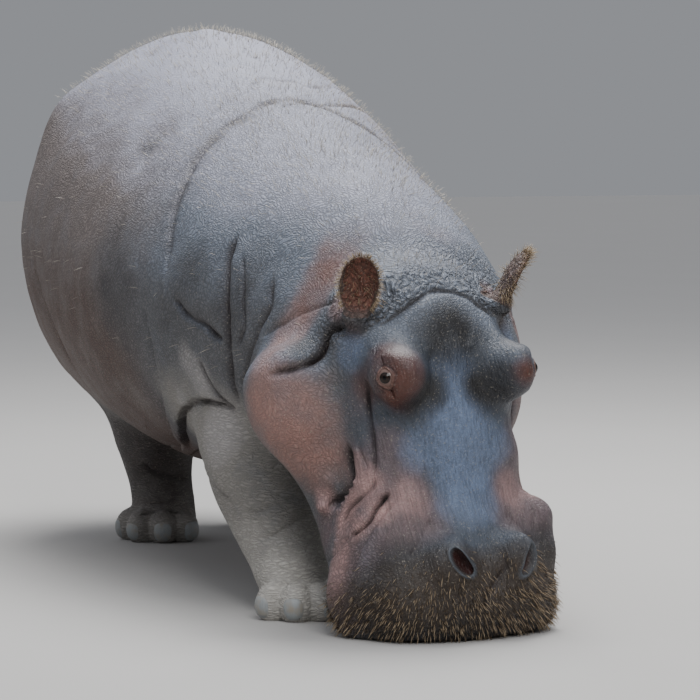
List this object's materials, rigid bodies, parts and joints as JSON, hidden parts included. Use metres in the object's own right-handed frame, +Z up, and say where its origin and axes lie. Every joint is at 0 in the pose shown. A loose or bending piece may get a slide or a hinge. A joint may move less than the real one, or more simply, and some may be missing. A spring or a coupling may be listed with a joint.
{
  "type": "hippopotamus",
  "caption": "Life-size still model of a standing hippopotamus, head lowered, broad muzzle resting on the floor.",
  "frame": {"origin": "on the floor, under the middle of the animal's bounding box", "axes": "the animal faces -Y, its left side is at +X, and +Z is up"},
  "size_m": [0.9876, 2.6348, 1.3304],
  "materials": {
    "back_hide": "bare hide, fine creases, satin",
    "neck_hide": "bare hide, deep folds, satin",
    "face_hide": "smooth bare hide, slight sheen",
    "cheek_hide": "bare hide, satin",
    "leg_hide": "bare hide, dusty, matt",
    "ear_hide": "thin bare hide, matt",
    "hoof": "dull horn",
    "eyeball": "wet, glossy"
  },
  "bodies": {
    "root": {"trunk": "back_hide", "neck": "neck_hide", "head": "face_hide", "lower_jaw": "cheek_hide", "tail": "back_hide", "ear_right": "ear_hide", "ear_left": "ear_hide", "eye_right": "eyeball", "eye_left": "eyeball", "foreleg_right": "leg_hide", "forefoot_right": "leg_hide", "nail_fore_right_1": "hoof", "nail_fore_right_2": "hoof", "nail_fore_right_3": "hoof", "nail_fore_right_4": "hoof", "foreleg_left": "leg_hide", "forefoot_left": "leg_hide", "nail_fore_left_1": "hoof", "nail_fore_left_2": "hoof", "nail_fore_left_3": "hoof", "nail_fore_left_4": "hoof", "hindleg_right": "leg_hide", "hindfoot_right": "leg_hide", "nail_hind_right_1": "hoof", "nail_hind_right_2": "hoof", "nail_hind_right_3": "hoof", "nail_hind_right_4": "hoof", "hindleg_left": "leg_hide", "hindfoot_left": "leg_hide", "nail_hind_left_1": "hoof", "nail_hind_left_2": "hoof", "nail_hind_left_3": "hoof", "nail_hind_left_4": "hoof"}
  },
  "joints": []
}
